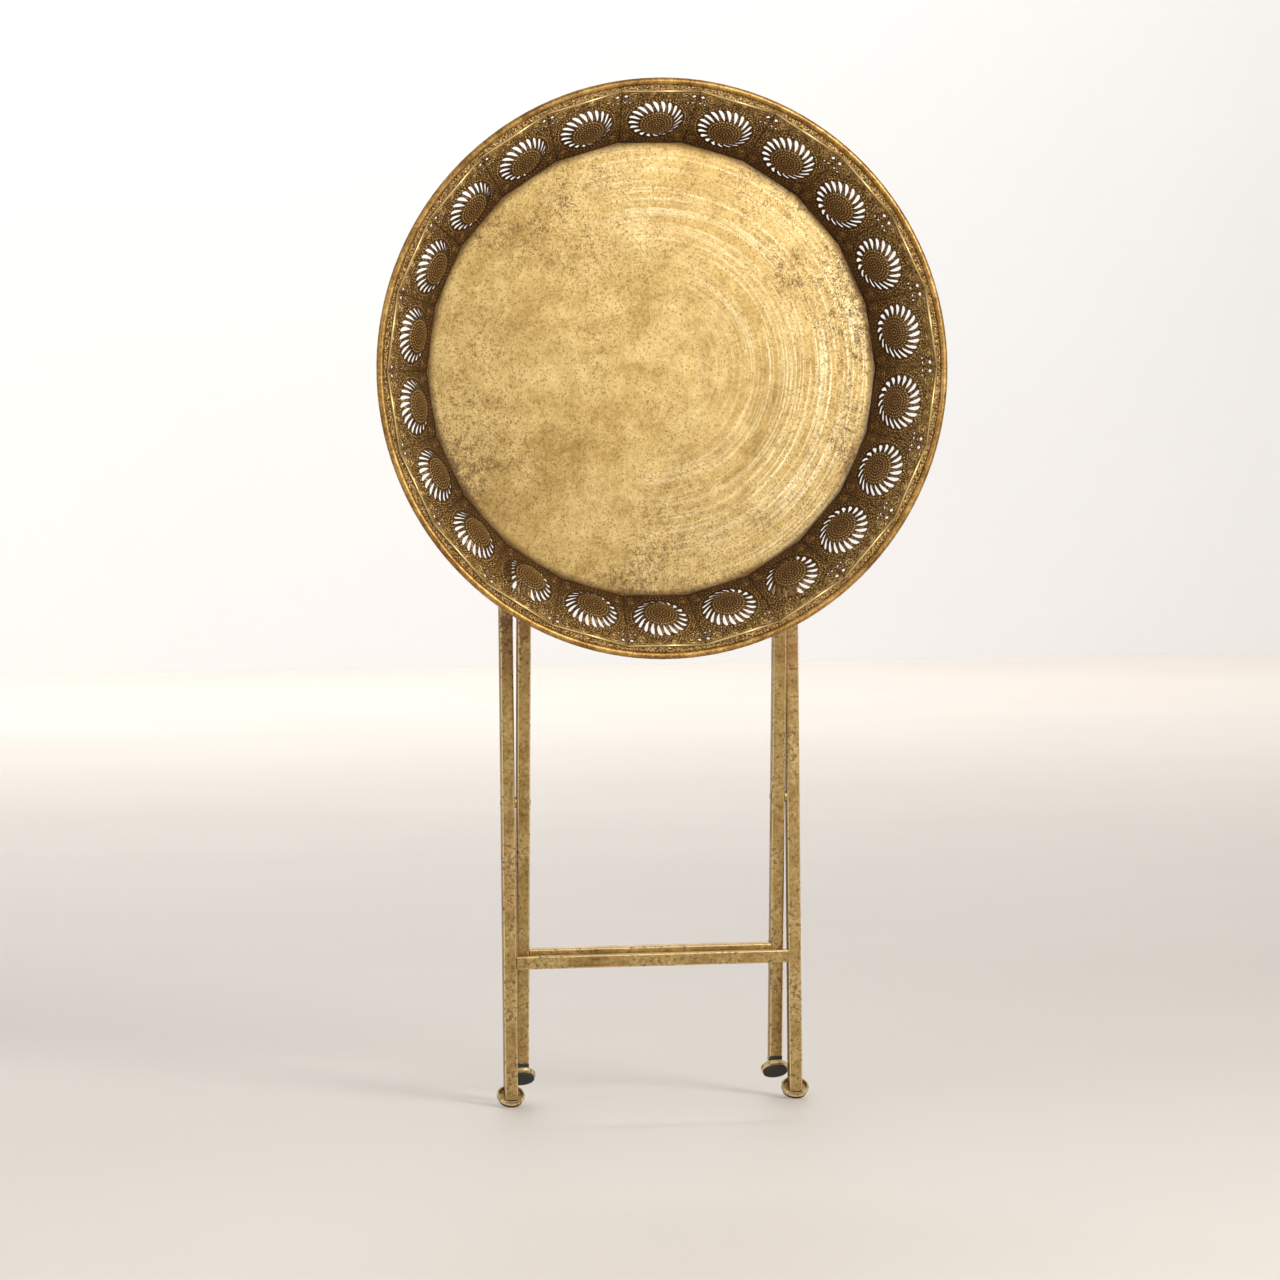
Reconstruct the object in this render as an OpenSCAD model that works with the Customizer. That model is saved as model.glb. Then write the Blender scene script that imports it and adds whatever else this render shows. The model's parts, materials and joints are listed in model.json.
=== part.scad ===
// Folding tray table: a round tray with a pierced gallery on two crossed tube frames.
// Shown folded: the tray stands upright in front of the closed frames.
// Millimetres, +Z up, -Y to the front. The origin is the bottom centre of the folded table.

/* [Tray] */
// Outer radius of the rolled rim
tray_r = 260; // [220:1:300]
// Radius of the flat tray floor
floor_r = 205; // [170:1:215]
// Height of the gallery above the floor's underside
gallery_h = 58; // [35:1:70]
// Number of bent panels in the gallery
panel_n = 22; // [16:2:30]
// Sheet thickness of floor and gallery
sheet_t = 1.2; // [0.8:0.1:2]
// Radius of the rolled rim's section
rim_wire_r = 3.2; // [2.5:0.1:4.5]

/* [Frames] */
// Outside width of the square tube
tube = 12; // [10:0.5:16]
// Corner radius of the square tube
tube_corner = 2; // [1:0.1:3]
// Wall of every tube
wall = 1; // [0.8:0.1:1.5]
// Half the spacing of the outer legs, centre line to middle
outer_half = 132; // [125:1:150]
// Half the spacing of the inner legs, centre line to middle
inner_half = 118; // [105:0.5:118.5]
// Outer leg, from pivot to ankle
outer_leg_low = 267; // [240:1:300]
// Outer leg, from pivot to top bar
outer_leg_high = 267; // [240:1:300]
// Lean of the outer legs when the table is open
outer_lean = 35; // [28:1:40]
// Lean of the inner legs when the table is open
inner_lean = 30; // [24:1:36]
// Angle left between the frames when folded
fold_rest = 5.2; // [5.2:0.1:9]
// Height of the outer cross bar above the floor, folded
outer_bar_z = 131; // [120:1:150]
// Distance of the inner cross bar below the pivot
inner_bar_drop = 141; // [130:1:160]

/* [Feet] */
// Tilt of the inner foot cups to their legs
inner_foot_tilt = 38; // [30:1:42]
// Radius of a foot cup
cup_r = 12.6; // [11:0.1:16]
// Visible height of the black collar on the inner legs
inner_collar = 6.5; // [2:0.5:8]
// Visible height of the black collar on the outer legs
outer_collar = 1.2; // [1:0.1:4]

/* [Hidden] */
$fn = 64;

half_tube = tube / 2;
bar_r = tube / 2;                 // round top bars
bar_gap = 1;                      // top bar to tray underside
bar_drop = bar_r + bar_gap;       // bar centre below the underside
// Both frames reach the same floor and the same tray when open
lean_ratio = cos(outer_lean) / cos(inner_lean);
inner_leg_low = outer_leg_low * lean_ratio;
inner_leg_high = outer_leg_high * lean_ratio;
bar_reach = (outer_leg_high * sin(outer_lean) + inner_leg_high * sin(inner_lean)) / 2;

// Foot cup, measured from the ankle along the foot's own axis
cup_top = 2.5;
cup_floor = -0.5;
cup_base = -2.5;
cup_edge = 1.2;
pad_base = -4.5;
pad_r = 11.2;
bowl_r = 10.8;
ankle_z = pad_r * sin(outer_lean) - pad_base * cos(outer_lean);

pivot_z = ankle_z + outer_leg_low;
hinge_y = -inner_leg_high * sin(fold_rest);
hinge_z = pivot_z + inner_leg_high * cos(fold_rest);
front_y = hinge_y - bar_drop - gallery_h - rim_wire_r;
foot_turn = inner_foot_tilt - fold_rest;
back_y = inner_leg_low * sin(fold_rest) + cup_r * cos(foot_turn) + (cup_top - cup_edge) * sin(foot_turn);
centre_y = -(front_y + back_y) / 2;

rivet_r = 2.5;
rivet_play = 0.05;
rivet_head_r = 4;
rivet_head_h = 0.6;
washer_r = 5;
washer_play = 0.3;
frame_gap = outer_half - inner_half - tube;
clip_x = 70;
clip_w = 18;
clip_t = 1.5;
clip_flange = 12;
clip_play = 0.15;
catch_play = 0.5;
catch_lip = 2;
far = 60;                         // larger than any cut it makes

brass_leaf = [0.85, 0.71, 0.42];
old_brass = [0.50, 0.37, 0.17];
gold_tube = [0.72, 0.55, 0.28];
black = [0.05, 0.05, 0.05];

// ---- places ----
module on_outer() {
    translate([0, centre_y, pivot_z]) children();
}

module on_inner() {
    translate([0, centre_y, pivot_z]) rotate([fold_rest, 0, 0]) children();
}

// Tray frame: floor's underside centre at the origin, +Z out of the tray's face
module on_tray() {
    translate([0, centre_y + hinge_y - bar_drop, hinge_z + bar_reach]) rotate([90, 0, 0]) children();
}

// ---- sections ----
module rounded_square(side, corner) {
    square([side - 2 * corner, side], center = true);
    square([side, side - 2 * corner], center = true);
    for (sx = [-1, 1], sy = [-1, 1])
        translate([sx, sy] * (side / 2 - corner)) circle(corner);
}

module tube_section() {
    difference() {
        rounded_square(tube, tube_corner);
        rounded_square(tube - 2 * wall, tube_corner - wall);
    }
}

module along_x() {
    rotate([0, 90, 0]) children();
}

// ---- tray ----
module tray_floor() {
    shoulder = 0.4;
    face_r = floor_r - 0.7;
    edge_r = panel_foot / cos(180 / panel_n);
    color(brass_leaf) on_tray() rotate_extrude($fn = 128) polygon([
        [0, 0], [edge_r, 0], [edge_r, sheet_t - shoulder],
        [face_r, sheet_t - shoulder], [face_r, sheet_t], [0, sheet_t]]);
}

// One gallery panel lies in the XY plane, its foot at y = 0 and its top at y = slope
panel_foot = floor_r + 0.4;
panel_head = (tray_r - 2 * rim_wire_r - 2) * cos(180 / panel_n);
panel_top_z = gallery_h;
slope = norm([panel_head - panel_foot, panel_top_z - sheet_t]);
slope_turn = atan2(panel_top_z - sheet_t, panel_head - panel_foot);
medallion_r = 19;
hole_r = 2.3;
hole_n = 12;

// Panels stand a hair apart at their bends, so that each is a clean solid
bend_gap = 0.3;

module gallery_panel() {
    foot_w = 2 * panel_foot * tan(180 / panel_n) - bend_gap;
    head_w = 2 * panel_head * tan(180 / panel_n) - bend_gap;
    translate([0, panel_foot, sheet_t]) rotate([slope_turn, 0, 0])
        linear_extrude(sheet_t) difference() {
            polygon([[-foot_w / 2, 0], [foot_w / 2, 0], [head_w / 2, slope], [-head_w / 2, slope]]);
            translate([0, slope * 0.46]) for (k = [0:hole_n - 1])
                rotate(k * 360 / hole_n) translate([medallion_r, 0]) circle(hole_r, $fn = 24);
        }
}

module pierced_gallery() {
    color(old_brass) on_tray() for (k = [0:panel_n - 1])
        rotate(k * 360 / panel_n) gallery_panel();
}

// Flat strip between the bent panels and the rolled rim
module gallery_flange() {
    flange_r = tray_r - 2 * rim_wire_r + 1;
    color(old_brass) on_tray() translate([0, 0, panel_top_z - sheet_t]) linear_extrude(sheet_t)
        difference() {
            circle(flange_r, $fn = 128);
            circle(panel_head / cos(180 / panel_n) + 0.05, $fn = 128);
        }
}

module rim_wire() {
    color(old_brass) on_tray() translate([0, 0, gallery_h]) rotate_extrude($fn = 128)
        translate([tray_r - rim_wire_r, 0]) difference() {
            circle(rim_wire_r, $fn = 32);
            translate([-rim_wire_r - 0.1, -sheet_t]) square([rim_wire_r, sheet_t]);
        }
}

// Strap that wraps the inner top bar, so the tray turns on it
module hinge_clip(side) {
    outer = bar_r + clip_play + clip_t;
    inner = bar_r + clip_play;
    color(gold_tube) on_tray() translate([side * clip_x - clip_w / 2, -bar_reach, 0])
        rotate([90, 0, 90]) linear_extrude(clip_w) difference() {
            union() {
                translate([0, -bar_drop]) circle(outer);
                translate([-outer, -bar_drop]) square([2 * outer, bar_drop]);
                translate([-outer - clip_flange, -clip_t]) square([2 * (outer + clip_flange), clip_t]);
            }
            translate([0, -bar_drop]) circle(inner);
            translate([-inner, -bar_drop]) square([2 * inner, bar_drop + 1]);
        }
}

// Hook open towards the hinge; the outer top bar rests against it when the table is open
module catch_clip(side) {
    face = bar_r + catch_play;
    depth = bar_drop + bar_r + catch_play + clip_t;
    color(gold_tube) on_tray() translate([side * clip_x - clip_w / 2, bar_reach, 0])
        rotate([90, 0, 90]) linear_extrude(clip_w) {
            translate([face, -depth]) square([clip_t, depth]);
            translate([face - catch_lip, -depth]) square([catch_lip + clip_t, clip_t]);
            translate([face, -clip_t]) square([clip_flange, clip_t]);
        }
}

// ---- legs and bars, pivot at the origin ----
module leg(side_x, high, low, foot_lean, collar) {
    below = 12;
    head_inset = 0.1;
    translate([side_x, 0, 0]) {
        difference() {
            translate([0, 0, -low - below]) linear_extrude(low + high + below) tube_section();
            translate([-half_tube - 1, 0, 0]) along_x()
                cylinder(r = rivet_r + rivet_play, h = tube + 2);
            translate([0, 0, -low]) rotate([foot_lean, 0, 0])
                translate([-far / 2, -far / 2, cup_floor + collar - far]) cube([far, far, far]);
        }
        translate([-half_tube + head_inset, 0, high]) along_x()
            cylinder(r = half_tube - head_inset, h = tube - 2 * head_inset);
    }
}

module top_bar(half_w, high) {
    translate([-half_w + half_tube, 0, high]) along_x() difference() {
        cylinder(r = bar_r, h = 2 * half_w - tube);
        translate([0, 0, -1]) cylinder(r = bar_r - wall, h = 2 * half_w - tube + 2);
    }
}

module cross_bar(half_w, drop) {
    translate([-half_w + half_tube, 0, -drop]) along_x()
        linear_extrude(2 * half_w - tube) tube_section();
}

// ---- feet, ankle at the origin ----
module foot_plug(foot_lean, collar) {
    spigot = 16;
    difference() {
        union() {
            linear_extrude(spigot) rounded_square(tube - 2 * wall, tube_corner - wall);
            if (collar > 0) intersection() {
                translate([0, 0, -far / 2]) linear_extrude(far) rounded_square(tube, tube_corner);
                rotate([foot_lean, 0, 0]) translate([-far / 2, -far / 2, cup_floor])
                    cube([far, far, collar]);
            }
        }
        rotate([foot_lean, 0, 0]) translate([-far / 2, -far / 2, cup_floor - far]) cube([far, far, far]);
    }
}

module foot_cup(foot_lean) {
    rotate([foot_lean, 0, 0]) rotate_extrude() polygon([
        [0, cup_base], [cup_r - cup_edge, cup_base], [cup_r, cup_base + cup_edge],
        [cup_r, cup_top - cup_edge], [cup_r - cup_edge / 2, cup_top], [bowl_r, cup_top],
        [bowl_r - cup_edge / 2, cup_floor], [0, cup_floor]]);
}

module foot_pad(foot_lean) {
    rotate([foot_lean, 0, 0]) translate([0, 0, pad_base])
        cylinder(r = pad_r, h = cup_base - pad_base);
}

module outer_ankle(side) {
    on_outer() translate([side * outer_half, 0, -outer_leg_low]) children();
}

module inner_ankle(side) {
    on_inner() translate([side * inner_half, 0, -inner_leg_low]) children();
}

// ---- outer frame ----
module outer_leg(side) {
    color(gold_tube) on_outer()
        leg(side * outer_half, outer_leg_high, outer_leg_low, outer_lean, outer_collar);
}

module outer_top_bar() {
    color(gold_tube) on_outer() top_bar(outer_half, outer_leg_high);
}

module outer_cross_bar() {
    color(gold_tube) on_outer() cross_bar(outer_half, pivot_z - outer_bar_z);
}

// ---- inner frame ----
module inner_leg(side) {
    color(gold_tube) on_inner()
        leg(side * inner_half, inner_leg_high, inner_leg_low, -inner_foot_tilt, inner_collar);
}

module inner_top_bar() {
    color(gold_tube) on_inner() top_bar(inner_half, inner_leg_high);
}

module inner_cross_bar() {
    color(gold_tube) on_inner() cross_bar(inner_half, inner_bar_drop);
}

// ---- pivots ----
module pivot_rivet(side) {
    reach = outer_half + half_tube;
    tail = inner_half - half_tube - washer_play;
    color(gold_tube) on_outer() mirror([side < 0 ? 1 : 0, 0, 0]) {
        translate([tail, 0, 0]) along_x() cylinder(r = rivet_r, h = reach - tail);
        translate([reach, 0, 0]) along_x() cylinder(r1 = rivet_head_r, r2 = rivet_r, h = rivet_head_h);
        translate([tail, 0, 0]) mirror([1, 0, 0]) along_x()
            cylinder(r1 = rivet_head_r, r2 = rivet_r, h = rivet_head_h);
    }
}

module pivot_washer(side) {
    near = inner_half + half_tube + washer_play;
    color(gold_tube) on_outer() mirror([side < 0 ? 1 : 0, 0, 0]) translate([near, 0, 0]) along_x()
        difference() {
            cylinder(r = washer_r, h = frame_gap - washer_play);
            translate([0, 0, -1]) cylinder(r = rivet_r, h = frame_gap + 2);
        }
}

tray_floor();
pierced_gallery();
gallery_flange();
rim_wire();
hinge_clip(-1);  // hinge_clip_left
hinge_clip(1);  // hinge_clip_right
catch_clip(-1);  // catch_clip_left
catch_clip(1);  // catch_clip_right
outer_leg(-1);  // outer_leg_left
outer_leg(1);  // outer_leg_right
outer_top_bar();
outer_cross_bar();
color(black) outer_ankle(-1) foot_plug(outer_lean, outer_collar);  // outer_plug_left
color(black) outer_ankle(1) foot_plug(outer_lean, outer_collar);  // outer_plug_right
color(gold_tube) outer_ankle(-1) foot_cup(outer_lean);  // outer_cup_left
color(gold_tube) outer_ankle(1) foot_cup(outer_lean);  // outer_cup_right
color(black) outer_ankle(-1) foot_pad(outer_lean);  // outer_pad_left
color(black) outer_ankle(1) foot_pad(outer_lean);  // outer_pad_right
inner_leg(-1);  // inner_leg_left
inner_leg(1);  // inner_leg_right
inner_top_bar();
inner_cross_bar();
color(black) inner_ankle(-1) foot_plug(-inner_foot_tilt, inner_collar);  // inner_plug_left
color(black) inner_ankle(1) foot_plug(-inner_foot_tilt, inner_collar);  // inner_plug_right
color(gold_tube) inner_ankle(-1) foot_cup(-inner_foot_tilt);  // inner_cup_left
color(gold_tube) inner_ankle(1) foot_cup(-inner_foot_tilt);  // inner_cup_right
color(black) inner_ankle(-1) foot_pad(-inner_foot_tilt);  // inner_pad_left
color(black) inner_ankle(1) foot_pad(-inner_foot_tilt);  // inner_pad_right
pivot_rivet(-1);  // pivot_rivet_left
pivot_rivet(1);  // pivot_rivet_right
pivot_washer(-1);  // pivot_washer_left
pivot_washer(1);  // pivot_washer_right
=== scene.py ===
import json
import math
import random

import bmesh
import bpy
from mathutils import Matrix, Vector


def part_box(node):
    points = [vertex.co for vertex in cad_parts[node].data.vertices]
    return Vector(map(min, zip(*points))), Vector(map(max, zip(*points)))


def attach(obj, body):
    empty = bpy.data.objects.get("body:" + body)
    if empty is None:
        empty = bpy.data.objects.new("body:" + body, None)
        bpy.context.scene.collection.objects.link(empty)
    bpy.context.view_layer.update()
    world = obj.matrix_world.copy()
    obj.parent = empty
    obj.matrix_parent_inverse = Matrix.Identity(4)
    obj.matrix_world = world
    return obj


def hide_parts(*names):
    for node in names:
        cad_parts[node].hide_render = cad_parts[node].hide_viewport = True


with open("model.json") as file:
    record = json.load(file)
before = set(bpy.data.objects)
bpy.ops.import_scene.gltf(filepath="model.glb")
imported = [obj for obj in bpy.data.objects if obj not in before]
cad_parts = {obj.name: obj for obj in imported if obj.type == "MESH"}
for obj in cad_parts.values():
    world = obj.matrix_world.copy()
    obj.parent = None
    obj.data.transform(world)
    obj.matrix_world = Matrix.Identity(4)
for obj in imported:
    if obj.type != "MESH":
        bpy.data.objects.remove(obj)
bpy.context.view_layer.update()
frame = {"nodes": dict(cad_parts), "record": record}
mm = 0.001

# The tray's own place: its floor's underside centre, +Z out of the tray's face
floorLow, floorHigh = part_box("tray_floor")
rimLow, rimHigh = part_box("rim_wire")
wireRadius = (rimHigh.y - rimLow.y) / 2
rimRadius = (rimHigh.x - rimLow.x) / 2
rimDepth = floorHigh.y - (rimHigh.y + rimLow.y) / 2
trayCentre = Vector((0, floorHigh.y, (rimHigh.z + rimLow.z) / 2))
trayPlace = Matrix.Translation(trayCentre) @ Matrix.Rotation(math.pi / 2, 4, "X")

gallery = {
    "panels": 22,
    "sheet": 1.2 * mm,        # thickness of the drawn solid
    "skin": 0.7 * mm,         # thickness of the pressed sheet
    "margin": 2.0 * mm,       # panel head to rolled rim
}
stepAngle = 2 * math.pi / gallery["panels"]
footApothem = (floorHigh.x - floorLow.x) / 2 * math.cos(stepAngle / 2)
headApothem = (rimRadius - 2 * wireRadius - gallery["margin"]) * math.cos(stepAngle / 2)
rise = rimDepth - gallery["sheet"]
slope = math.hypot(headApothem - footApothem, rise)
slopeTurn = math.atan2(rise, headApothem - footApothem)
footHalf = footApothem * math.tan(stepAngle / 2)
headHalf = headApothem * math.tan(stepAngle / 2)
panelPlace = (Matrix.Translation((0, footApothem, gallery["sheet"]))
              @ Matrix.Rotation(slopeTurn, 4, "X"))
print("frame loaded, panel slope", round(slope * 1000, 1), "mm")


class Socket:
    def __init__(self, tree, out):
        self.tree, self.out = tree, out

    def maths(self, operation, *others):
        node = self.tree.nodes.new("ShaderNodeMath")
        node.operation = operation
        for slot, value in zip(node.inputs, (self, *others)):
            if isinstance(value, Socket):
                self.tree.links.new(value.out, slot)
            else:
                slot.default_value = value
        return Socket(self.tree, node.outputs[0])

    def __add__(self, other):
        return self.maths("ADD", other)

    def __mul__(self, other):
        return self.maths("MULTIPLY", other)

    def __sub__(self, other):
        return self.maths("SUBTRACT", other)

    def __rsub__(self, other):
        return (self * -1) + other

    __radd__ = __add__
    __rmul__ = __mul__

    def root(self):
        return self.maths("SQRT")

    def clamp(self):
        return self.maths("MINIMUM", 1.0).maths("MAXIMUM", 0.0)


class Finish:
    def __init__(self, name):
        self.material = bpy.data.materials.new(name)
        self.material.use_nodes = True
        self.tree = self.material.node_tree
        self.shader = self.tree.nodes["Principled BSDF"]
        self.place = self.node("ShaderNodeTexCoord", out="Object")

    def node(self, kind, settings=None, out=0, ramp=None, **values):
        node = self.tree.nodes.new(kind)
        for key, value in (settings or {}).items():
            setattr(node, key, value)
        if ramp:
            stops = node.color_ramp.elements
            while len(stops) < len(ramp):
                stops.new(0.5)
            for stop, (position, shade) in zip(stops, ramp):
                stop.position = position
                stop.color = (*shade, 1) if isinstance(shade, tuple) else (shade, shade, shade, 1)
        for key, value in values.items():
            slot = node.inputs[int(key[1:])] if key[0] == "i" and key[1:].isdigit() else node.inputs[key]
            if isinstance(value, Socket):
                self.tree.links.new(value.out, slot)
            else:
                slot.default_value = value
        return Socket(self.tree, node.outputs[out])

    def noise(self, scale, detail=4.0, rough=0.6, place=None, warp=0.0):
        return self.node("ShaderNodeTexNoise", Vector=place or self.place, Scale=scale,
                         Detail=detail, Roughness=rough, Distortion=warp)

    def cells(self, scale):
        return self.node("ShaderNodeTexVoronoi", Vector=self.place, Scale=scale)

    def ramp(self, value, *stops):
        return self.node("ShaderNodeValToRGB", ramp=stops, Fac=value)

    def mix(self, factor, first, second, blend="MIX"):
        def colour(value):
            return value if isinstance(value, Socket) else (*value, 1)
        return self.node("ShaderNodeMix", {"data_type": "RGBA", "blend_type": blend}, out=2,
                         i0=factor, i6=colour(first), i7=colour(second))

    def mapRange(self, value, low, high):
        return self.node("ShaderNodeMapRange", Value=value, **{"From Min": low, "From Max": high})

    def split(self, place=None):
        node = self.tree.nodes.new("ShaderNodeSeparateXYZ")
        self.tree.links.new((place or self.place).out, node.inputs[0])
        return [Socket(self.tree, out) for out in node.outputs]

    def bump(self, height, distance, strength=1.0):
        return self.node("ShaderNodeBump", Height=height, Distance=distance, Strength=strength)

    def set(self, **values):
        for key, value in values.items():
            slot = self.shader.inputs[key.replace("_", " ")]
            if isinstance(value, Socket):
                self.tree.links.new(value.out, slot)
            else:
                slot.default_value = value
        return self.material


def trayRadius(finish):
    x, y, z = finish.split()
    up = z - trayCentre.z
    return (x * x + up * up).root()


def goldLeaf():
    f = Finish("gold_leaf")
    radius = trayRadius(f)
    x, y, z = f.split()
    cloud = f.noise(7, 4, 0.6)
    leaf = f.noise(46, 6, 0.75, warp=0.5)
    crackle = f.noise(310, 3, 0.75)
    fine = f.noise(760, 2, 0.6)
    tone = leaf * 0.34 + cloud * 0.30 + crackle * 0.22 + fine * 0.14
    body = f.ramp(tone, (0.36, (0.26, 0.160, 0.048)), (0.45, (0.47, 0.310, 0.105)),
                  (0.52, (0.62, 0.440, 0.175)), (0.64, (0.82, 0.640, 0.310)))
    # polishing strokes round the centre; their pale colour, stronger to one side (+X), is a painted
    # sheen
    ringPlace = f.node("ShaderNodeCombineXYZ", X=radius * 380, Y=x * 8, Z=z * 8)
    strokes = f.noise(1.0, 3, 0.65, place=ringPlace)
    streaksAndPaintedSheen = f.mapRange(f.noise(4.2, 2, 0.5) + x * 1.1, 0.48, 0.74)
    # pale stroke colour weighted towards +X: painted sheen
    body = f.mix(f.mapRange(strokes, 0.46, 0.68) * streaksAndPaintedSheen * 0.8, body, (0.97, 0.85, 0.55))
    # age spots, denser to the edge
    edge = f.mapRange(radius, 0.09, 0.205)
    patch = f.noise(7.5, 3, 0.6, warp=0.4)
    coarse = f.noise(190, 4, 0.8)
    spots = f.mapRange(coarse + fine * 0.35 + patch * 0.75 + edge * 0.09, 1.21, 1.29)
    specks = f.mapRange(f.noise(620, 2, 0.6) + patch * 0.22 + edge * 0.03, 0.64, 0.76)
    colour = f.mix(spots * 0.75, body, (0.15, 0.075, 0.024))
    colour = f.mix(specks * 0.7, colour, (0.20, 0.105, 0.034))
    colour = f.mix(f.mapRange(radius, 0.1985, 0.2045) * 0.85, colour, (0.10, 0.050, 0.018))
    rough = 0.30 + leaf * 0.14 + spots * 0.3 + crackle * 0.10
    relief = f.bump(leaf * 0.6 + crackle * 0.5 + strokes * 0.2, 0.0005, 0.4)
    return f.set(Base_Color=colour, Metallic=1.0 - spots * 0.6, Roughness=rough, Normal=relief)


def oldBrass():
    f = Finish("old_brass")
    outward = f.mapRange(trayRadius(f), 0.208, 0.246)
    speckle = f.noise(620, 3, 0.7)
    blot = f.noise(60, 4, 0.6)
    dark = f.mix(blot, (0.040, 0.018, 0.007), (0.105, 0.048, 0.015))
    gold = f.mix(blot, (0.34, 0.20, 0.060), (0.62, 0.41, 0.150))
    lift = f.mapRange(speckle + outward * 0.06, 0.52, 0.66)
    colour = f.mix(lift * (outward * 0.85 + 0.15), dark, gold)
    relief = f.bump(f.cells(900) + speckle * 0.6, 0.0004, 0.7)
    return f.set(Base_Color=colour, Metallic=0.85, Roughness=0.5 - lift * 0.15, Normal=relief)


def medallionBrown():
    f = Finish("medallion_brown")
    speckle = f.noise(700, 2, 0.6)
    blot = f.noise(40, 3, 0.6)
    outward = f.mapRange(trayRadius(f), 0.215, 0.245)
    base = f.mix(blot, (0.055, 0.026, 0.010), (0.120, 0.060, 0.022))
    colour = f.mix((speckle - 0.45).clamp() * 2.4 * (outward * 0.6 + 0.3), base, (0.46, 0.28, 0.09))
    return f.set(Base_Color=colour, Metallic=0.8, Roughness=0.45,
                 Normal=f.bump(speckle, 0.0003, 0.5))


def copperDots():
    f = Finish("copper_dots")
    wear = f.noise(300, 3, 0.7)
    outward = f.mapRange(trayRadius(f), 0.214, 0.244)
    low = f.mix(wear, (0.26, 0.140, 0.045), (0.52, 0.320, 0.110))
    high = f.mix(wear, (0.54, 0.350, 0.120), (0.90, 0.670, 0.290))
    return f.set(Base_Color=f.mix(outward, low, high), Metallic=0.9, Roughness=0.38 + wear * 0.12)


def rubbedGold():
    f = Finish("rubbed_gold")
    outward = f.mapRange(trayRadius(f), 0.210, 0.240)
    wear = f.noise(260, 3, 0.7)
    high = f.mix(f.mapRange(wear, 0.38, 0.62), (0.30, 0.165, 0.045), (0.90, 0.67, 0.30))
    low = f.mix(wear, (0.12, 0.058, 0.019), (0.42, 0.240, 0.080))
    return f.set(Base_Color=f.mix(outward, low, high), Metallic=0.95,
                 Roughness=0.30 + wear * 0.15, Normal=f.bump(wear, 0.0002, 0.4))


def brightFillet():
    f = Finish("bright_fillet")
    wear = f.noise(160, 4, 0.7)
    return f.set(Base_Color=f.mix(wear, (0.62, 0.42, 0.15), (0.95, 0.76, 0.40)), Metallic=1.0,
                 Roughness=0.28 + wear * 0.15)


def rolledRim():
    f = Finish("rolled_rim")
    wear = f.noise(60, 5, 0.7)
    fine = f.noise(420, 3, 0.75)
    body = f.ramp(wear * 0.55 + fine * 0.45, (0.36, (0.13, 0.060, 0.018)), (0.47, (0.33, 0.175, 0.050)),
                  (0.57, (0.54, 0.340, 0.110)), (0.70, (0.74, 0.520, 0.205)))
    return f.set(Base_Color=body, Metallic=0.95, Roughness=0.36 + wear * 0.14,
                 Normal=f.bump(fine + wear, 0.0004, 0.4))


def goldTube():
    f = Finish("gold_tube")
    wear = f.noise(30, 5, 0.65)
    fine = f.noise(330, 4, 0.75)
    body = f.ramp(wear * 0.55 + fine * 0.45, (0.36, (0.17, 0.100, 0.032)), (0.46, (0.36, 0.235, 0.085)),
                  (0.55, (0.50, 0.350, 0.140)), (0.68, (0.72, 0.530, 0.240)))
    rust = f.mapRange(f.noise(21, 4, 0.7, warp=0.5) + fine * 0.45, 0.76, 0.92)
    pits = f.mapRange(f.noise(300, 3, 0.75) + wear * 0.5 + rust * 0.05, 0.80, 0.89)
    colour = f.mix(rust * 0.5, body, (0.36, 0.150, 0.042))
    colour = f.mix(pits * 0.75, colour, (0.10, 0.045, 0.014))
    # corners painted bright as a painted highlight on the rounded edges: a flat side's own direction is
    # one of the axes
    side = f.node("ShaderNodeTexCoord", out="Normal")
    nx, ny, nz = [n.maths("ABSOLUTE") for n in f.split(side)]
    flat = nx.maths("MAXIMUM", ny).maths("MAXIMUM", nz)
    cornerHighlight = 1.0 - f.mapRange(flat, 0.80, 0.975)
    # pale gold on the corners: painted highlight
    colour = f.mix(cornerHighlight * (1.0 - pits) * 0.8, colour, (0.96, 0.77, 0.42))
    return f.set(Base_Color=colour, Metallic=1.0 - rust * 0.4 - pits * 0.4,
                 Roughness=0.30 + fine * 0.18 + rust * 0.15,
                 Normal=f.bump(fine + wear * 0.4, 0.0003, 0.4))


def blackPlastic():
    f = Finish("black_plastic")
    scuff = f.noise(260, 4, 0.6)
    return f.set(Base_Color=f.mix(scuff, (0.010, 0.010, 0.010), (0.035, 0.033, 0.031)),
                 Roughness=0.42 + scuff * 0.15, Normal=f.bump(scuff, 0.0002, 0.3))


def blackRubber():
    f = Finish("black_rubber")
    dust = f.noise(180, 5, 0.7)
    return f.set(Base_Color=f.mix(dust, (0.012, 0.012, 0.012), (0.055, 0.050, 0.046)),
                 Roughness=0.70 + dust * 0.2, Normal=f.bump(dust, 0.0003, 0.5))


def paleFloor():
    f = Finish("pale_floor")
    soft = f.noise(1.4, 3, 0.5)
    return f.set(Base_Color=f.mix(soft, (0.66, 0.60, 0.545), (0.72, 0.665, 0.61)), Roughness=0.6)


def whiteWall():
    f = Finish("white_wall")
    soft = f.noise(1.1, 2, 0.5)
    return f.set(Base_Color=f.mix(soft, (0.90, 0.90, 0.90), (0.95, 0.95, 0.95)), Roughness=0.9)


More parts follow.
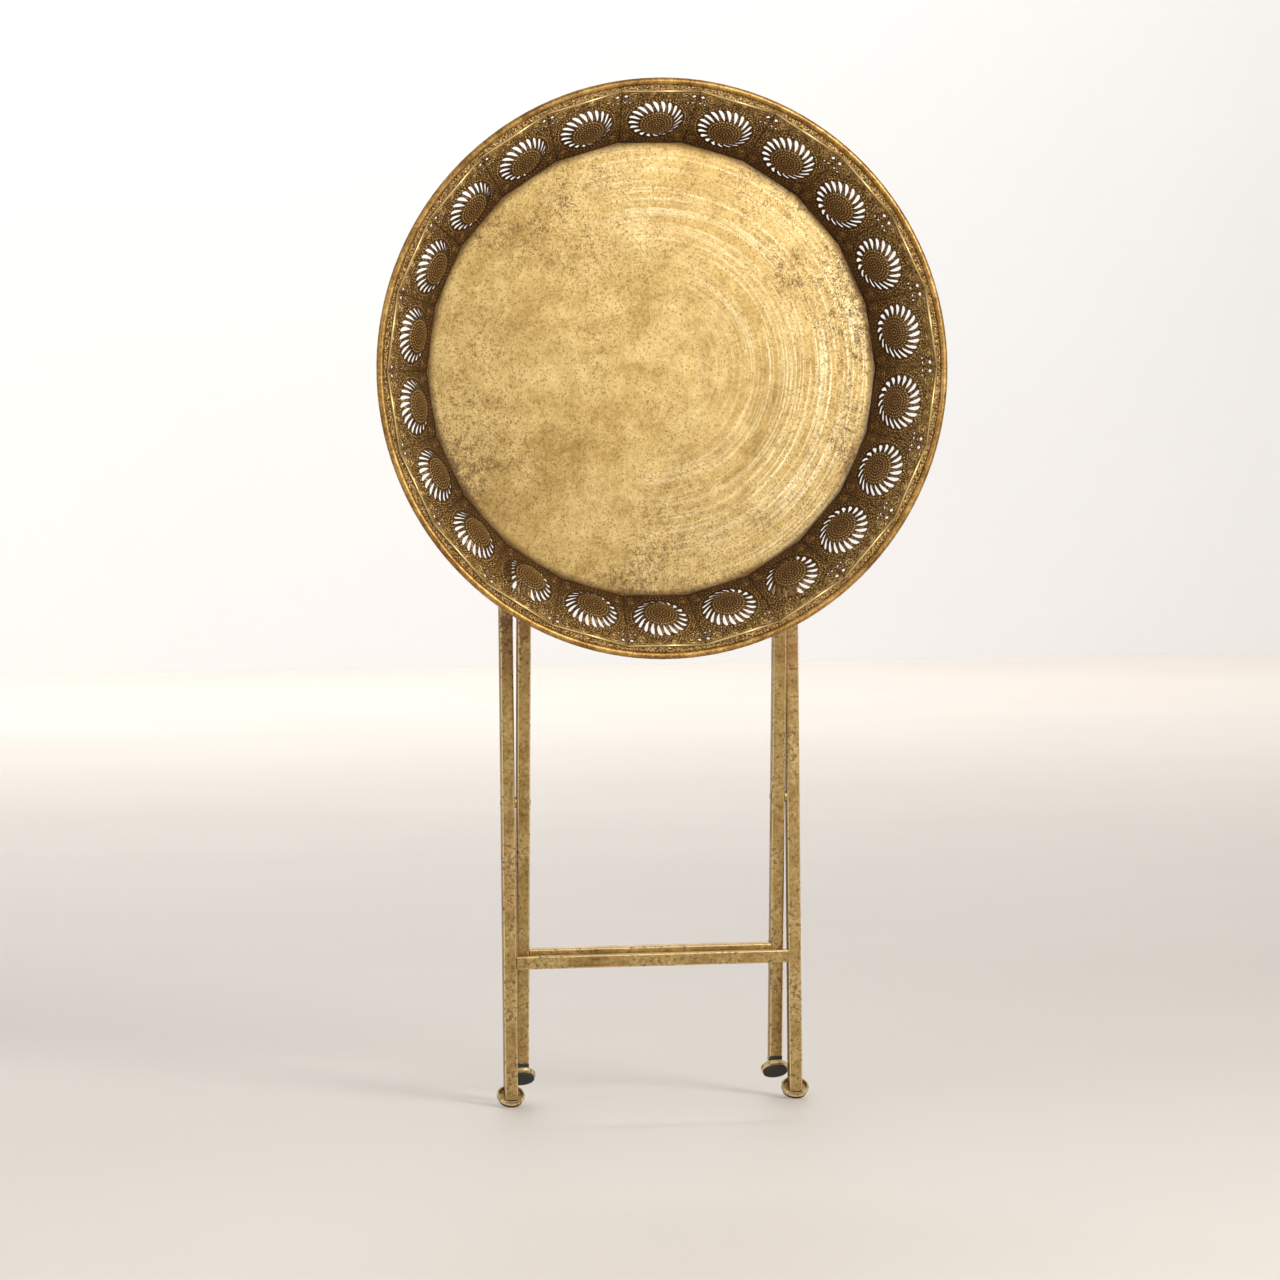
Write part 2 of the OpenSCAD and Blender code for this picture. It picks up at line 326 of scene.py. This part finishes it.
def addPiece(name, bm, material, place=None, smooth=True):
    if place:
        bmesh.ops.transform(bm, matrix=place, verts=bm.verts)
    bmesh.ops.recalc_face_normals(bm, faces=bm.faces)
    mesh = bpy.data.meshes.new(name)
    bm.to_mesh(mesh)
    bm.free()
    mesh.materials.append(material)
    mesh.polygons.foreach_set("use_smooth", [smooth] * len(mesh.polygons))
    piece = bpy.data.objects.new(name, mesh)
    bpy.context.scene.collection.objects.link(piece)
    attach(piece, "tray")
    print(name, len(mesh.polygons), "faces")
    return piece


def everything(bm):
    return bm.verts[:] + bm.edges[:] + bm.faces[:]


def allRound(bm):
    # one panel, in the tray's own place, repeated round the tray
    bmesh.ops.transform(bm, matrix=panelPlace, verts=bm.verts)
    bmesh.ops.spin(bm, geom=everything(bm), cent=(0, 0, 0), axis=(0, 0, 1), dvec=(0, 0, 0),
                   angle=2 * math.pi - stepAngle, steps=gallery["panels"] - 1, use_duplicate=True)


medallion = {
    "height": 0.455,          # centre, as a share of the panel's slope
    "petals": 20,
    "inner": 14.3 * mm,
    "outer": 25.4 * mm,
    "petalPoints": 16,
    "petalLength": 0.88,      # share of the ring's width
    "petalWidth": 2.65 * mm,  # half width at the widest
    "petalTaper": 0.38,       # narrower towards the dome
    "bulge": 5.0 * mm,
    "crown": 6.6 * mm,
    "swirl": 13.5,            # degrees, a whole number of outer edge steps
}
medallionCentre = Vector((0, slope * medallion["height"], 0))


def swell(radius):
    # height of the pressed medallion over the panel
    t = (medallion["outer"] - radius) / (medallion["outer"] - medallion["inner"])
    t = min(max(t, 0.0), 1.0)
    return medallion["bulge"] * t * t * (3 - 2 * t)


def petalRing(bm):
    # one petal opening inside its share of the ring, then the share repeated round
    inner, outer = medallion["inner"], medallion["outer"]
    count = medallion["petals"]
    middle, reach = (inner + outer) / 2, (outer - inner) / 2
    points = medallion["petalPoints"]
    opening = bmesh.ops.create_circle(bm, segments=points, radius=1)["verts"]
    border = bmesh.ops.create_circle(bm, segments=points, radius=1)["verts"]
    edges = [e for e in bm.edges if e.verts[0] in opening + border]
    for v in opening:
        along, across = v.co.y, v.co.x
        radius = middle + along * reach * medallion["petalLength"]
        width = medallion["petalWidth"] * (1 - medallion["petalTaper"] + medallion["petalTaper"] * along)
        v.co = (across * width, radius, 0)
    for v in border:
        size = max(abs(v.co.x), abs(v.co.y))
        radius = middle + v.co.y / size * reach
        turn = v.co.x / size * math.pi / count
        v.co = (radius * math.sin(turn), radius * math.cos(turn), 0)
    bmesh.ops.bridge_loops(bm, edges=edges)
    bmesh.ops.spin(bm, geom=everything(bm), cent=(0, 0, 0), axis=(0, 0, 1), dvec=(0, 0, 0),
                   angle=2 * math.pi * (count - 1) / count, steps=count - 1, use_duplicate=True)
    bmesh.ops.remove_doubles(bm, verts=bm.verts, dist=0.02 * mm)
    for v in bm.verts:
        radius = v.co.xy.length
        share = min(max((radius - inner) / (outer - inner), 0.0), 1.0)
        v.co = Matrix.Rotation(math.radians(medallion["swirl"]) * share ** 1.5, 3, "Z") @ v.co
        v.co.z = swell(radius)


# corner piercings: share of the head's half width, share of the slope, radius, sides
cornerHoles = ((0.865, 0.885, 2.1 * mm, 4), (0.86, 0.765, 1.1 * mm, 6), (0.74, 0.765, 1.2 * mm, 4))
piercings = [(Vector((side * across * headHalf, along * slope, 0)), radius, sides)
             for side in (-1, 1) for across, along, radius, sides in cornerHoles]


def onMedallionEdge(v):
    return abs((v.co - medallionCentre).xy.length - medallion["outer"]) < 0.15 * mm


def pressedPanels():
    bm = bmesh.new()
    petalRing(bm)
    bmesh.ops.translate(bm, verts=bm.verts, vec=medallionCentre)
    centred = [e for e in bm.edges if e.is_boundary and all(onMedallionEdge(v) for v in e.verts)]
    gap = 0.1 * mm
    foot, head = footHalf - gap, headHalf - gap
    corners = [bm.verts.new((x, y, 0))
               for x, y in ((-foot, 0), (foot, 0), (head, slope), (-head, slope))]
    outline = [bm.edges.new((corners[i], corners[(i + 1) % 4])) for i in range(4)]
    holes = []
    for centre, radius, sides in piercings:
        ring = bmesh.ops.create_circle(bm, segments=sides, radius=radius,
                                       matrix=Matrix.Translation(centre))["verts"]
        holes += dict.fromkeys(e for v in ring for e in v.link_edges)
    bmesh.ops.triangle_fill(bm, edges=list(dict.fromkeys(centred + outline + holes)), use_beauty=True,
                            normal=(0, 0, 1))
    bmesh.ops.recalc_face_normals(bm, faces=bm.faces)
    if sum(f.normal.z for f in bm.faces) < 0:
        bmesh.ops.reverse_faces(bm, faces=bm.faces)
    bmesh.ops.solidify(bm, geom=bm.faces[:], thickness=gallery["skin"])
    bmesh.ops.translate(bm, verts=bm.verts, vec=(0, 0, gallery["sheet"]))
    allRound(bm)
    return bm


dome = {
    "rings": 7,
    "sides": 40,
    "overlap": 1.03,          # a little wider than the opening's inner ring
    "spokes": 26,             # radial rows of dots
    "rows": 5,
    "firstRow": 0.22,         # shares of the dome's radius
    "rowsSpan": 0.74,
    "dotSize": 0.35 * mm,
    "dotGrowth": 0.5 * mm,
    "middleDot": 0.9 * mm,
}


def domes():
    # a shallow crown in the middle of each medallion
    bm = bmesh.new()
    rings = dome["rings"]
    profile = [bm.verts.new((medallion["inner"] * dome["overlap"] * i / rings, 0,
                             medallion["bulge"] + (medallion["crown"] - medallion["bulge"])
                             * (1 - (i / rings) ** 2))) for i in range(rings + 1)]
    line = [bm.edges.new(profile[i:i + 2]) for i in range(rings)]
    bmesh.ops.spin(bm, geom=profile + line, cent=(0, 0, 0), axis=(0, 0, 1), dvec=(0, 0, 0),
                   angle=2 * math.pi, steps=dome["sides"], use_merge=True)
    bmesh.ops.remove_doubles(bm, verts=bm.verts, dist=0.01 * mm)
    bmesh.ops.recalc_face_normals(bm, faces=bm.faces)
    if sum(f.normal.z for f in bm.faces) < 0:
        bmesh.ops.reverse_faces(bm, faces=bm.faces)
    bmesh.ops.solidify(bm, geom=bm.faces[:], thickness=gallery["skin"])
    bmesh.ops.translate(bm, verts=bm.verts, vec=medallionCentre + Vector((0, 0, gallery["sheet"])))
    allRound(bm)
    return bm


def grain(bm, place, radius):
    bmesh.ops.create_icosphere(bm, subdivisions=1, radius=radius, matrix=Matrix.Translation(place))


def medallionDots():
    # radial rows of dots that grow towards the dome's edge
    bm = bmesh.new()
    grain(bm, medallionCentre + Vector((0, 0, gallery["sheet"] + medallion["crown"])), dome["middleDot"])
    for row in range(dome["rows"]):
        share = dome["firstRow"] + dome["rowsSpan"] * row / (dome["rows"] - 1)
        height = medallion["bulge"] + (medallion["crown"] - medallion["bulge"]) * (1 - share ** 2)
        spokes = dome["spokes"] // 2 if row < 2 else dome["spokes"]
        for i in range(spokes):
            turn = 2 * math.pi * (i + 0.5 * (row % 2)) / spokes
            spot = Vector((math.cos(turn), math.sin(turn), 0)) * share * medallion["inner"]
            place = medallionCentre + spot + Vector((0, 0, gallery["sheet"] + height))
            grain(bm, place, dome["dotSize"] + dome["dotGrowth"] * share)
    allRound(bm)
    return bm


# rings of beads: radius, count, bead radius
beadRings = ((medallion["outer"] + 1.5 * mm, 52, 0.95 * mm), (medallion["inner"], 40, 0.55 * mm))


def medallionBeads():
    # a ring of beads round the petals, and a finer one at the dome's foot
    bm = bmesh.new()
    lift = Vector((0, 0, gallery["sheet"]))
    for radius, count, size in beadRings:
        for i in range(count):
            turn = 2 * math.pi * i / count
            spot = Vector((math.cos(turn), math.sin(turn), 0)) * radius
            grain(bm, medallionCentre + lift + spot + Vector((0, 0, swell(radius))), size)
    allRound(bm)
    return bm


scroll = {
    "radius": 5.6 * mm,
    "wire": 0.45 * mm,
    "turns": 1.6,
    "steps": 26,
    "closing": 0.82,          # how far it winds in, as a share of its radius
    "eye": 0.9 * mm,
}
# scrolls: share of the half width, half width, share of the slope, size, hand
scrollPlaces = ((0.64, headHalf, 0.885, 1.0, 1), (0.80, footHalf, 0.105, 0.85, -1),
                (0.20, headHalf, 0.925, 0.62, -1))
scrolls = [(Vector((side * across * half, along * slope, 0)), size, side * hand)
           for side in (-1, 1) for across, half, along, size, hand in scrollPlaces]


def scrollWires():
    # filigree spirals in the panel's corners
    bm = bmesh.new()
    for centre, size, hand in scrolls:
        wire = bpy.data.curves.new("wire", "CURVE")
        wire.dimensions = "3D"
        wire.bevel_depth = scroll["wire"]
        wire.bevel_resolution = 1
        line = wire.splines.new("POLY")
        steps = scroll["steps"]
        line.points.add(steps)
        for i, point in enumerate(line.points):
            turn = 2 * math.pi * scroll["turns"] * i / steps
            radius = scroll["radius"] * size * (1 - scroll["closing"] * i / steps)
            spot = centre + Vector((hand * math.cos(turn), math.sin(turn), 0)) * radius
            point.co = (*spot.xy, gallery["sheet"] + scroll["wire"] * 0.5, 1)
        holder = bpy.data.objects.new("wire", wire)
        mesh = bpy.data.meshes.new_from_object(holder)
        bm.from_mesh(mesh)
        bpy.data.objects.remove(holder)
        bpy.data.meshes.remove(mesh)
        grain(bm, centre + Vector((0, 0, gallery["sheet"])), scroll["eye"] * size)
    bmesh.ops.holes_fill(bm, edges=[e for e in bm.edges if e.is_boundary], sides=8)
    allRound(bm)
    return bm


granulation = {
    "grains": 300,
    "tries": 20000,
    "size": (0.42 * mm, 0.70 * mm),
    "spacing": 1.6 * mm,
    "along": (0.03, 0.925),   # shares of the slope
    "edge": 1.3 * mm,
    "medallionGap": 3.0 * mm,
    "holeGap": 0.9 * mm,
    "seed": 11,
}


def grains():
    # granulated ground between the medallion, the scrolls and the edges
    random.seed(granulation["seed"])
    bm = bmesh.new()
    placed = []
    keepOff = [(medallionCentre, medallion["outer"] + granulation["medallionGap"])]
    keepOff += [(centre, radius + granulation["holeGap"]) for centre, radius, sides in piercings]
    tries = 0
    while len(placed) < granulation["grains"] and tries < granulation["tries"]:
        tries += 1
        along = random.uniform(*granulation["along"])
        half = footHalf + (headHalf - footHalf) * along - granulation["edge"]
        spot = Vector((random.uniform(-half, half), along * slope, 0))
        if any((spot - centre).length < radius for centre, radius in keepOff):
            continue
        if any((spot - other).length < granulation["spacing"] for other in placed):
            continue
        placed.append(spot)
        grain(bm, spot + Vector((0, 0, gallery["sheet"])), random.uniform(*granulation["size"]))
    allRound(bm)
    return bm


def roundBar(bm, start, end, radius, sides=8):
    # a straight closed rod between two points
    along = end - start
    place = (Matrix.Translation((start + end) / 2)
             @ Vector((0, 0, 1)).rotation_difference(along).to_matrix().to_4x4())
    bmesh.ops.create_cone(bm, cap_ends=True, segments=sides, radius1=radius, radius2=radius,
                          depth=along.length, matrix=place)


fillet = {"radius": 0.9 * mm, "inset": 0.3 * mm, "sides": 10}


def fillets():
    # a bright straight fillet along each panel's head
    bm = bmesh.new()
    inset = fillet["inset"]
    lift = gallery["sheet"] + inset
    left, right = (Vector((side * headHalf, slope - inset, lift)) for side in (-1, 1))
    roundBar(bm, left, right, fillet["radius"], fillet["sides"])
    allRound(bm)
    return bm


rib = {"bend": 0.6 * mm, "seam": 1.1 * mm, "seamInset": 0.6 * mm, "sunk": 0.4}


def ribs():
    # the bend between two panels, and the seam at the floor
    bm = bmesh.new()
    lift = gallery["sheet"] * rib["sunk"]
    left, right = (Vector((side * footHalf, rib["seamInset"], lift)) for side in (-1, 1))
    roundBar(bm, Vector((footHalf, 0, lift)), Vector((headHalf, slope, lift)), rib["bend"])
    roundBar(bm, left, right, rib["seam"])
    allRound(bm)
    return bm


def shelf():
    # flat strip from the panels' heads to the rolled rim
    bm = bmesh.new()
    cornerRadius = (headApothem - 0.6 * mm) / math.cos(stepAngle / 2)
    inside = bmesh.ops.create_circle(bm, segments=gallery["panels"], radius=cornerRadius)["verts"]
    bmesh.ops.rotate(bm, verts=inside, cent=(0, 0, 0), matrix=Matrix.Rotation(stepAngle / 2, 3, "Z"))
    bmesh.ops.subdivide_edges(bm, edges=bm.edges[:], cuts=5)
    inside = bm.verts[:]
    outerRadius = rimRadius - 2 * wireRadius + 1 * mm
    around = bmesh.ops.create_circle(bm, segments=len(inside), radius=outerRadius)["verts"]
    bmesh.ops.rotate(bm, verts=around, cent=(0, 0, 0), matrix=Matrix.Rotation(stepAngle / 2, 3, "Z"))
    bmesh.ops.bridge_loops(bm, edges=bm.edges[:])
    bmesh.ops.recalc_face_normals(bm, faces=bm.faces)
    if sum(f.normal.z for f in bm.faces) < 0:
        bmesh.ops.reverse_faces(bm, faces=bm.faces)
    bmesh.ops.translate(bm, verts=bm.verts, vec=(0, 0, rimDepth))
    bmesh.ops.solidify(bm, geom=bm.faces[:], thickness=gallery["skin"])
    return bm


rimBead = {"count": 520, "radius": 0.8 * mm, "gap": 0.75 * mm, "lift": 0.3 * mm}


def rimBeads():
    # beads between the fillets and the rolled rim
    bm = bmesh.new()
    ringRadius = rimRadius - 2 * wireRadius - rimBead["gap"]
    turn = 2 * math.pi / rimBead["count"]
    grain(bm, (0, ringRadius, rimDepth + rimBead["lift"]), rimBead["radius"])
    bmesh.ops.spin(bm, geom=everything(bm), cent=(0, 0, 0), axis=(0, 0, 1), dvec=(0, 0, 0),
                   angle=2 * math.pi - turn, steps=rimBead["count"] - 1, use_duplicate=True)
    return bm


stripBead = {"count": 44, "radius": 0.6 * mm, "rows": (2.3 * mm, 3.9 * mm), "edge": 1.4 * mm}


def stripBeads():
    # straight rows of beads under each fillet
    bm = bmesh.new()
    for row in stripBead["rows"]:
        for i in range(stripBead["count"]):
            across = (2 * (i + 0.5) / stripBead["count"] - 1) * (headHalf - stripBead["edge"])
            grain(bm, Vector((across, slope - row, gallery["sheet"])), stripBead["radius"])
    allRound(bm)
    return bm


brassOld = oldBrass()
brown = medallionBrown()
goldRubbed = rubbedGold()
panels = addPiece("gallery_panels", pressedPanels(), brassOld, trayPlace, smooth=False)
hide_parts("pierced_gallery")
addPiece("medallion_domes", domes(), brown, trayPlace)
addPiece("medallion_dots", medallionDots(), copperDots(), trayPlace)
addPiece("medallion_beads", medallionBeads(), goldRubbed, trayPlace)
addPiece("gallery_scrolls", scrollWires(), goldRubbed, trayPlace)
addPiece("gallery_grains", grains(), goldRubbed, trayPlace)
addPiece("gallery_fillets", fillets(), brightFillet(), trayPlace)
addPiece("gallery_ribs", ribs(), brassOld, trayPlace)
flatStrip = addPiece("gallery_shelf", shelf(), brassOld, trayPlace, smooth=False)
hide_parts("gallery_flange")
addPiece("rim_beads", rimBeads(), goldRubbed, trayPlace)
addPiece("strip_beads", stripBeads(), goldRubbed, trayPlace)
print("gallery made")

finishes = {"brass_leaf": goldLeaf(), "old_brass": rolledRim(), "gold_tube": goldTube(),
            "black_plastic": blackPlastic(), "black_rubber": blackRubber()}
for part in frame["record"]["subparts"]:
    node = frame["nodes"][part["node"]]
    for i in range(max(1, len(node.data.materials))):
        if not node.data.materials:
            node.data.materials.append(None)
        node.material_slots[i].material = finishes[part["material_slot"]]
print("finishes set")

studio = {
    "wall": 9.0,
    "half": 9.0,
    "front": -12.6,
    "wallHeight": 6.0,
    "skyTint": (1.0, 0.99, 0.97, 1),
    "skyLight": 0.60,
}
lamps = {
    "key": {"power": 62, "size": (1.1, 1.3), "place": (1.45, -2.5, 1.75), "aim": (0, 0, 0.60),
            "tint": (1.0, 0.985, 0.96)},
    "fill": {"power": 22, "size": (2.5, 2.5), "place": (-3.0, -2.4, 1.6), "aim": (0, 0, 0.5)},
    "wallWash": {"power": 280, "size": (6.0, 2.0), "place": (0, 7.4, 5.4), "aim": (0, 9.0, 1.2)},
}


def addSheet(name, material, width, depth, place):
    # a flat rectangle of the room
    bm = bmesh.new()
    bmesh.ops.create_grid(bm, x_segments=1, y_segments=1, size=0.5)
    bmesh.ops.scale(bm, verts=bm.verts, vec=(width, depth, 1))
    bmesh.ops.transform(bm, matrix=place, verts=bm.verts)
    mesh = bpy.data.meshes.new(name)
    bm.to_mesh(mesh)
    bm.free()
    mesh.materials.append(material)
    sheet = bpy.data.objects.new(name, mesh)
    bpy.context.scene.collection.objects.link(sheet)


floorDepth = studio["wall"] - studio["front"]
addSheet("floor", paleFloor(), 2 * studio["half"], floorDepth,
         Matrix.Translation((0, studio["front"] + floorDepth / 2, 0)))
addSheet("wall", whiteWall(), 2 * studio["half"], studio["wallHeight"],
         Matrix.Translation((0, studio["wall"], studio["wallHeight"] / 2))
         @ Matrix.Rotation(math.pi / 2, 4, "X"))

world = bpy.data.worlds.new("studio")
bpy.context.scene.world = world
world.use_nodes = True
sky = world.node_tree.nodes["Background"]
sky.inputs["Color"].default_value = studio["skyTint"]
sky.inputs["Strength"].default_value = studio["skyLight"]


def softLight(name, power, size, place, aim, tint=(1, 1, 1)):
    light = bpy.data.lights.new(name, "AREA")
    light.energy = power
    light.shape = "RECTANGLE"
    light.size, light.size_y = size
    light.color = tint
    lamp = bpy.data.objects.new(name, light)
    bpy.context.scene.collection.objects.link(lamp)
    lamp.location = place
    lamp.rotation_euler = (Vector(aim) - Vector(place)).to_track_quat("-Z", "Y").to_euler()


for name, settings in lamps.items():
    softLight(name, **settings)

cameraSetup = {
    "place": (-1.021, -5.403, 0.642),
    "aim": (-0.0136, 0.0, 0.4236),
    "roll": -0.58,            # degrees
    "lens": 170.9,
}
cameraData = bpy.data.cameras.new("camera")
cameraData.sensor_width = 36
cameraData.lens = cameraSetup["lens"]
cameraData.clip_end = 60
camera = bpy.data.objects.new("camera", cameraData)
bpy.context.scene.collection.objects.link(camera)
look = Vector(cameraSetup["aim"]) - Vector(cameraSetup["place"])
camera.matrix_world = (Matrix.Translation(cameraSetup["place"])
                       @ look.to_track_quat("-Z", "Y").to_matrix().to_4x4()
                       @ Matrix.Rotation(math.radians(cameraSetup["roll"]), 4, "Z"))
bpy.context.scene.camera = camera
bpy.context.scene.view_settings.view_transform = "Standard"

print("scene made")
